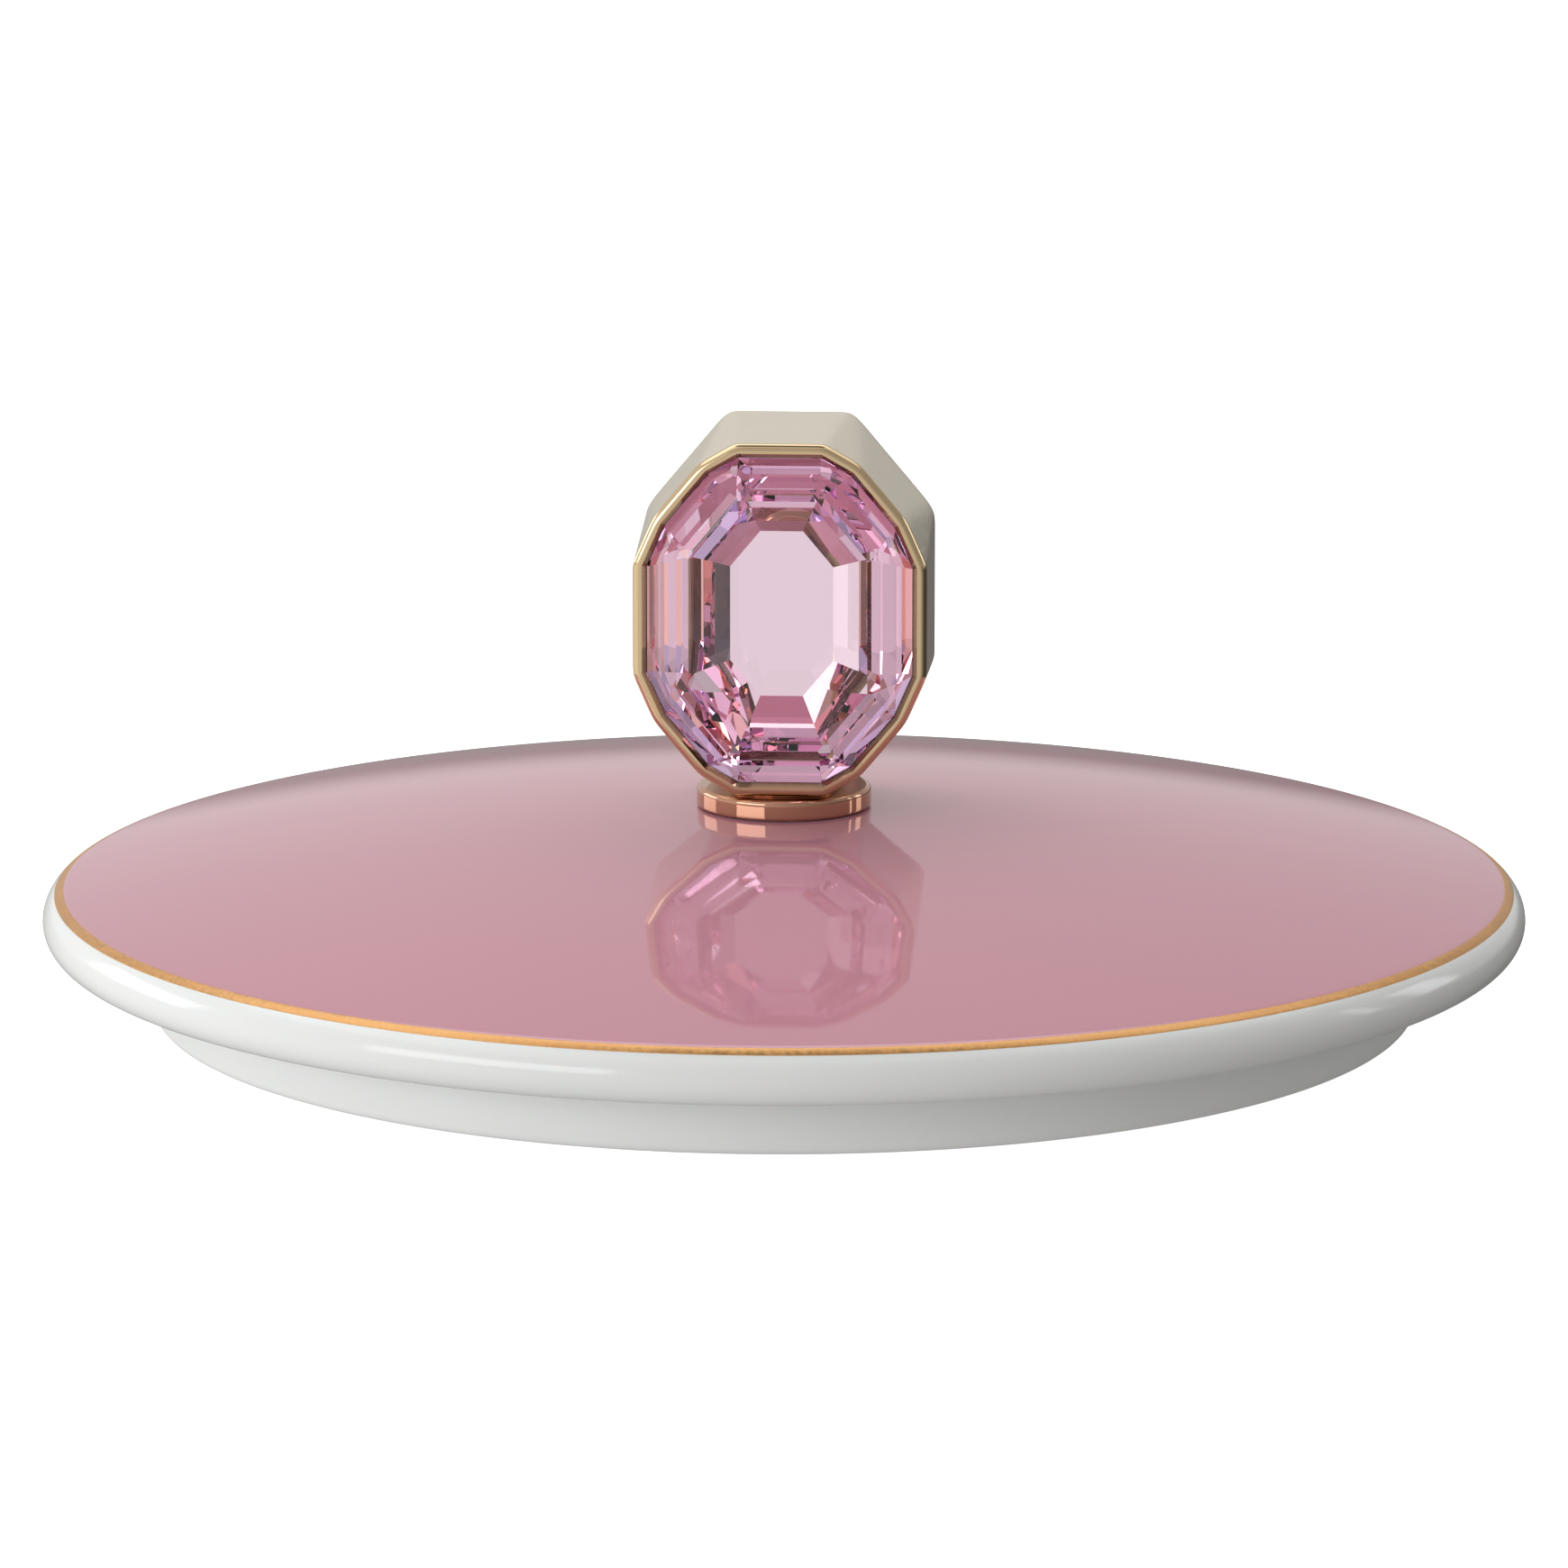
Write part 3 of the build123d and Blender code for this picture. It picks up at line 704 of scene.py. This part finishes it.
def common_solid(normals, reach, tolerance=1e-8):
    """Corner points and faces of the solid inside every half-space n . p <= reach.

    Every three planes meet in a point; those inside all the others are the corners, and each
    plane's corners, sorted by angle round their middle, make its face."""
    count = len(reach)
    first, second, third = np.array([(i, j, k) for i in range(count) for j in range(i + 1, count)
                                     for k in range(j + 1, count)]).T
    matrix = np.stack([normals[first], normals[second], normals[third]], 1)
    solid = np.abs(np.linalg.det(matrix)) > 1e-6
    chosen = np.stack([reach[first], reach[second], reach[third]], 1)[solid]
    points = np.linalg.solve(matrix[solid], chosen[..., None])[..., 0]
    points = points[(points @ normals.T <= reach + tolerance).all(1)]
    points = np.unique(np.round(points, 7), axis=0)
    faces, owners = [], []
    for owner, (normal, limit) in enumerate(zip(normals, reach)):
        held = np.flatnonzero(np.abs(points @ normal - limit) < 3e-7)
        if len(held) < 3:
            continue
        offset = points[held] - points[held].mean(0)
        side = np.cross(normal, offset[0])
        level = offset[0] / np.linalg.norm(offset[0])
        turn = np.arctan2(offset @ side / np.linalg.norm(side), offset @ level)
        faces.append(held[np.argsort(turn)].tolist())
        owners.append(owner)
    return points, faces, owners


def foil_tones(direction, steps, colours):
    """Mirror colour of the culet and then of every back facet, step by step round the stone.

    The outer step has a painted reflection of the casing's gold at the two sides and a darker violet painted
    reflection in the lower corners, and each facet is a few percent lighter or darker than the next."""
    turn = np.repeat(direction, steps)
    step = np.tile(np.arange(steps), len(direction))
    tone = np.tile(np.array(colours.foil), (len(turn), 1))
    outer = step == 0
    # Painted reflections: gold at the two sides, darker violet in the lower corners.
    tone[outer & (np.abs(np.sin(turn)) < 0.1)] = colours.foil_side_painted_reflection
    painted_violet_corner = (np.sin(turn) < -0.3) & (np.abs(np.cos(turn)) > 0.1)
    tone[outer & painted_violet_corner] = colours.foil_corner_painted_reflection
    tone *= 0.97 + 0.03 * np.sin(7 * turn + 3 * step)[:, None]
    tone = np.vstack([[colours.foil_culet], tone])
    return np.column_stack([tone, np.ones(len(tone))])


class LID_OT_stone(Operator):
    """Step-cut crystal with a mirror on its back facets, and the clear cement that holds it"""
    bl_idname = "lid.stone"
    bl_label = "Stone"

    def execute(self, context):
        size, colours = context.scene.lid_stone, context.scene.lid_finishes
        low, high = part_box("knob_casing")
        height = (low.z + high.z) / 2
        girdle_front = low.y + size.setback
        girdle_back = girdle_front + size.girdle
        facets = facet_table(MAIN_FACETS + CORNER_FACETS)
        crown = stepped_planes(facets, size.crown_insets, size.crown_heights, girdle_front, -1)
        behind = facets.copy()
        behind[:, 2] = np.minimum(behind[:, 2] * BACK_SPREAD, BACK_SPREAD_LIMIT)
        back = stepped_planes(behind, size.pavilion_insets, size.pavilion_depths, girdle_back, 1)
        side = np.stack([np.cos(facets[:, 0]), 0 * facets[:, 0], np.sin(facets[:, 0])], -1)
        table = girdle_front - size.crown_heights[2]
        culet = girdle_back + size.pavilion_depths[2]
        normals = np.vstack([crown[0], side, [(0, -1, 0)], [(0, 1, 0)], back[0]])
        reach = np.concatenate([crown[1], facets[:, 1], [-table], [culet], back[1]])
        points, faces, owners = common_solid(normals, reach)
        piece = mesh_piece("knob_stone", points + (0, 0, height), faces)
        first_mirror = len(crown[0]) + len(side) + 1
        glass = stone_finish(tuple(colours.stone))
        finished(piece, glass, replaced=("crystal", "foil_backing"))
        piece.data.materials.append(foil_finish())
        piece.data.polygons.foreach_set("material_index", [int(owner >= first_mirror) for owner in owners])
        tones = foil_tones(facets[:, 0], len(size.pavilion_insets), colours)
        tones = np.vstack([np.ones((first_mirror, 4)), tones])[owners]
        stored = piece.data.attributes.new("foil_tone", "FLOAT_COLOR", "FACE")
        stored.data.foreach_set("color", tones.ravel())
        repaint("setting_cement", soft_clear_finish("setting_cement", tuple(colours.cement), 0.3))
        return {"FINISHED"}


class LID_OT_hardware(Operator):
    """Gasket, stud, washers and nut that clamp the knob through the porcelain"""
    bl_idname = "lid.hardware"
    bl_label = "Hardware"

    def execute(self, context):
        colours = context.scene.lid_finishes
        steel = plated_finish("plated_steel", tuple(colours.steel), 0.22)
        for node in ("knob_stud", "metal_washer", "clamping_nut"):
            repaint(node, steel)
        soft = soft_clear_finish("clear_silicone", tuple(colours.silicone), 0.4)
        for node in ("collar_gasket", "soft_washer"):
            repaint(node, soft)
        return {"FINISHED"}


# ---------------------------------------------------------------------------
# Stage
# ---------------------------------------------------------------------------

WARM_WHITE = (1.0, 0.985, 0.965)
COOL_WHITE = (0.94, 0.98, 1.0)
DIMMEST = 0.08              # darkest part of the surround
OVERHEAD = 0.2              # surround straight above
LIGHT_REACH = 1.2           # from the knob to each panel
KNOB_LEVEL = 0.02           # height that the panels face
FLOOR_DROP = 0.00002        # floor under the spigot's foot
FLOOR_RADII = (0.05, 0.2, 1.0, 6.0)
FLOOR_SEGMENTS = 96
# Panels as (name, azimuths, elevations, radiance), with angles in degrees.
PANELS = (("front_left_panel", (-62, -22), (4, 22), 3.0), ("left_back_panel", (-128, -98), (4, 22), 2.2),
          ("right_strip", (100, 104), (4, 24), 2.4), ("right_back_panel", (114, 126), (4, 24), 2.2))


def make_camera(settings):
    """Long-lens camera on a sphere round a point of the axis, looking at that point."""
    level = settings.distance * math.cos(settings.elevation)
    aim = Vector((0, 0, settings.aim_height))
    away = Vector((level * math.sin(settings.azimuth), -level * math.cos(settings.azimuth),
                   settings.distance * math.sin(settings.elevation)))
    data = bpy.data.cameras.new("studio_camera")
    data.lens = settings.lens
    data.sensor_width = 36.0
    data.clip_start, data.clip_end = 0.01, 50.0
    camera = bpy.data.objects.new("studio_camera", data)
    bpy.context.scene.collection.objects.link(camera)
    camera.location = aim + away
    camera.rotation_euler = away.to_track_quat("Z", "Y").to_euler()
    bpy.context.scene.camera = camera


class WorldGraph:
    """Short calls for the world's nodes."""

    def __init__(self, name):
        world = bpy.data.worlds.new(name)
        bpy.context.scene.world = world
        world.use_nodes = True
        self.tree = world.node_tree
        self.background = self.tree.nodes["Background"]
        self.out = self.tree.nodes["World Output"]

    def plug(self, value, socket):
        if isinstance(value, bpy.types.NodeSocket):
            self.tree.links.new(value, socket)
        else:
            socket.default_value = value

    def node(self, kind, **settings):
        made = self.tree.nodes.new(kind)
        for key, value in settings.items():
            setattr(made, key, value)
        return made

    def math(self, operation, first, second):
        made = self.node("ShaderNodeMath", operation=operation)
        self.plug(first, made.inputs[0])
        self.plug(second, made.inputs[1])
        return made.outputs[0]

    def spread(self, value, low_in, high_in, low_out, high_out):
        made = self.node("ShaderNodeMapRange", interpolation_type="SMOOTHSTEP")
        for key, setting in (("Value", value), ("From Min", low_in), ("From Max", high_in),
                             ("To Min", low_out), ("To Max", high_out)):
            self.plug(setting, made.inputs[key])
        return made.outputs["Result"]

    def blend(self, factor, first, second):
        """first where the factor is 0, second where it is 1."""
        return self.math("ADD", self.math("MULTIPLY", first, self.math("SUBTRACT", 1.0, factor)),
                         self.math("MULTIPLY", second, factor))


def make_world():
    """Soft surround, plain white to the camera itself.

    Its brightness slopes across the room: below the horizon it is bright on the left and nearly
    dark on the right, from the horizon up it is more even, high up it is bright at the back and
    dark in front, and straight overhead it is dim."""
    g = WorldGraph("studio_surround")
    direction = g.node("ShaderNodeTexCoord").outputs["Generated"]
    parts = g.node("ShaderNodeSeparateXYZ")
    g.plug(direction, parts.inputs[0])
    x, y, z = parts.outputs

    def slope(middle, to_right, to_back):
        """Brightness that changes evenly with x and y, and never drops to black."""
        across = g.math("ADD", g.math("MULTIPLY", x, to_right), g.math("MULTIPLY", y, to_back))
        return g.math("MAXIMUM", g.math("ADD", across, middle), DIMMEST)

    over_horizon = g.spread(z, -0.06, 0.06, 0.0, 1.0)
    over_walls = g.spread(z, 0.62, 0.74, 0.0, 1.0)
    overhead = g.spread(z, 0.92, 0.97, 0.0, 1.0)
    below = slope(0.49, -0.54, -0.26)
    walls = slope(0.62, -0.26, 0.06)
    high = slope(1.35, -0.80, 1.30)
    room = g.blend(over_walls, g.blend(over_horizon, below, walls), high)
    g.plug(g.blend(overhead, room, OVERHEAD), g.background.inputs["Strength"])
    g.background.inputs["Color"].default_value = (*WARM_WHITE, 1)
    seen = g.node("ShaderNodeBackground")
    seen.inputs["Color"].default_value = (1, 1, 1, 1)
    mixed = g.node("ShaderNodeMixShader")
    g.plug(g.node("ShaderNodeLightPath").outputs["Is Camera Ray"], mixed.inputs["Fac"])
    g.plug(g.background.outputs[0], mixed.inputs[1])
    g.plug(seen.outputs[0], mixed.inputs[2])
    g.plug(mixed.outputs[0], g.out.inputs["Surface"])


def softbox(name, azimuths, elevations, radiance):
    """Rectangular light on a sphere round the knob, facing it, that fills a window of angles.

    Azimuth 0 is the stone's side and + is towards +X."""
    turn, rise = math.radians(sum(azimuths) / 2), math.radians(sum(elevations) / 2)
    width = 2 * LIGHT_REACH * math.cos(rise) * math.tan(math.radians(azimuths[1] - azimuths[0]) / 2)
    height = 2 * LIGHT_REACH * math.tan(math.radians(elevations[1] - elevations[0]) / 2)
    data = bpy.data.lights.new(name, "AREA")
    data.shape = "RECTANGLE"
    data.size, data.size_y = width, height
    data.energy = radiance * math.pi * width * height
    data.color = COOL_WHITE
    light = bpy.data.objects.new(name, data)
    bpy.context.scene.collection.objects.link(light)
    away = Vector((math.sin(turn) * math.cos(rise), -math.cos(turn) * math.cos(rise), math.sin(rise)))
    light.location = Vector((0, 0, KNOB_LEVEL)) + away * LIGHT_REACH
    light.rotation_euler = away.to_track_quat("Z", "Y").to_euler()
    light.visible_camera = False


def make_floor():
    """Wide pale disc under the lid: rings of points x = r cos t, y = r sin t, with a fan in the middle."""
    turn = np.linspace(0, 2 * math.pi, FLOOR_SEGMENTS, endpoint=False)
    radii = np.array(FLOOR_RADII)[:, None]
    points = np.stack([radii * np.cos(turn), radii * np.sin(turn), 0 * radii * turn - FLOOR_DROP], -1)
    points = np.vstack([points.reshape(-1, 3), [[0, 0, -FLOOR_DROP]]])
    faces = [quad[::-1] for quad in grid_faces(len(FLOOR_RADII), FLOOR_SEGMENTS, False)]
    faces += [[len(points) - 1, i, (i + 1) % FLOOR_SEGMENTS] for i in range(FLOOR_SEGMENTS)]
    floor = mesh_piece("studio_floor", points, faces, 30)
    g = Graph("studio_floor")
    g.set(Base_Color=g.mix(g.noise(3, 2), (0.94, 0.94, 0.94), (0.96, 0.96, 0.96)), Roughness=0.7)
    g.set(Specular_IOR_Level=0.2, Emission_Color=(1, 1, 1, 1), Emission_Strength=0.8)
    floor.data.materials.append(g.material)
    floor.visible_diffuse = False
    floor.visible_glossy = False
    floor.visible_transmission = False
    return floor


class LID_OT_studio(Operator):
    """Pale floor, soft light and the camera"""
    bl_idname = "lid.studio"
    bl_label = "Studio"

    def execute(self, context):
        make_floor()
        make_world()
        for panel in PANELS:
            softbox(*panel)
        make_camera(context.scene.lid_studio)
        context.scene.view_settings.view_transform = "Standard"
        cycles = context.scene.cycles
        cycles.max_bounces = 24
        cycles.glossy_bounces = 16
        cycles.transmission_bounces = 16
        return {"FINISHED"}


# ---------------------------------------------------------------------------
# Add-on
# ---------------------------------------------------------------------------

GROUPS = (("lid_porcelain", PorcelainSizes), ("lid_knob", KnobSizes), ("lid_stone", StoneSizes),
          ("lid_finishes", Finishes), ("lid_studio", StudioSettings))
STEPS = (LID_OT_porcelain, LID_OT_pink_glaze, LID_OT_gold_line, LID_OT_collar, LID_OT_casing, LID_OT_stone,
         LID_OT_hardware, LID_OT_studio)


class LID_PT_panel(Panel):
    """Lists the steps that make the lid"""
    bl_idname = "LID_PT_panel"
    bl_label = "Jewelled Lid"
    bl_space_type = "VIEW_3D"
    bl_region_type = "UI"
    bl_category = "Lid"

    def draw(self, context):
        for name, _ in GROUPS:
            group = getattr(context.scene, name)
            box = self.layout.box()
            for key in group.__annotations__:
                box.prop(group, key)
        for step in STEPS:
            self.layout.operator(step.bl_idname)


def register():
    for name, group in GROUPS:
        bpy.utils.register_class(group)
        setattr(bpy.types.Scene, name, PointerProperty(type=group))
    for item in (*STEPS, LID_PT_panel):
        bpy.utils.register_class(item)


def unregister():
    for item in (LID_PT_panel, *reversed(STEPS)):
        bpy.utils.unregister_class(item)
    for name, group in reversed(GROUPS):
        delattr(bpy.types.Scene, name)
        bpy.utils.unregister_class(group)


def main():
    """Makes every piece."""
    register()
    for step in STEPS:
        group, name = step.bl_idname.split(".")
        getattr(getattr(bpy.ops, group), name)()
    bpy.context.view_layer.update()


if __name__ == "__main__":
    main()
